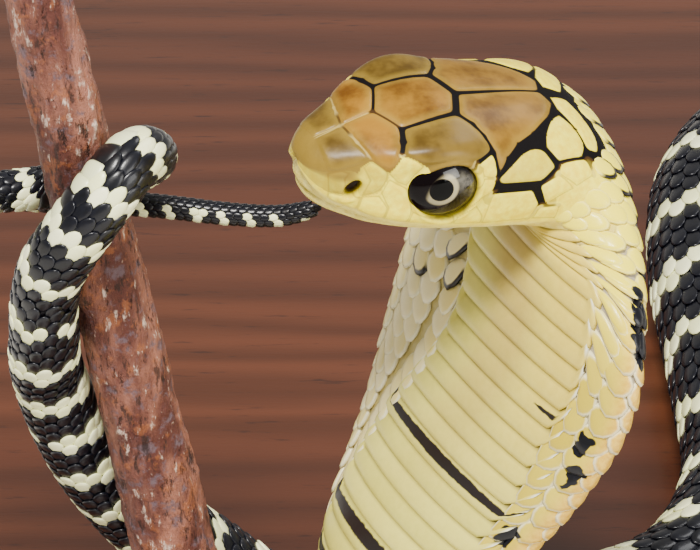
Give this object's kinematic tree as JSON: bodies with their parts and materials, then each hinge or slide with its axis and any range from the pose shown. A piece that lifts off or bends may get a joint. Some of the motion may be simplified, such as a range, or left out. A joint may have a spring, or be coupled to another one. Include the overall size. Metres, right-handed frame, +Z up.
{
  "type": "king cobra",
  "caption": "Young king cobra reared with its hood spread and its tail wound round a cut length of branch, on a flat wooden display base.",
  "frame": {"origin": "middle of the base's underside", "axes": "+Z up; the snake faces -X with its left side towards -Y"},
  "size_m": [0.134, 0.136, 0.0687],
  "materials": {
    "head_shields": "smooth tan horn shields with dark seams",
    "belly_scutes": "smooth pale yellow-green scutes, satin",
    "body_scales": "glossy black scales with narrow cream bands",
    "eye": "wet, dark, pale iris ring",
    "bark": "rough reddish-brown bark",
    "base_wood": "satin walnut",
    "rod_steel": "brushed"
  },
  "bodies": {
    "root": {"head": "head_shields", "jaw": "belly_scutes", "eye_left": "eye", "eye_right": "eye", "neck_1": "belly_scutes", "neck_2": "belly_scutes", "neck_3": "belly_scutes", "neck_4": "belly_scutes", "body_1": "body_scales", "body_2": "body_scales", "body_3": "body_scales", "body_4": "body_scales", "body_5": "body_scales", "body_6": "body_scales", "body_7": "body_scales", "tail_1": "body_scales", "tail_2": "body_scales", "tail_3": "body_scales", "tail_4": "body_scales", "tail_5": "body_scales", "tail_6": "body_scales", "tail_7": "body_scales", "perch": "bark", "stand_base": "base_wood", "stand_rod": "rod_steel"}
  },
  "joints": []
}
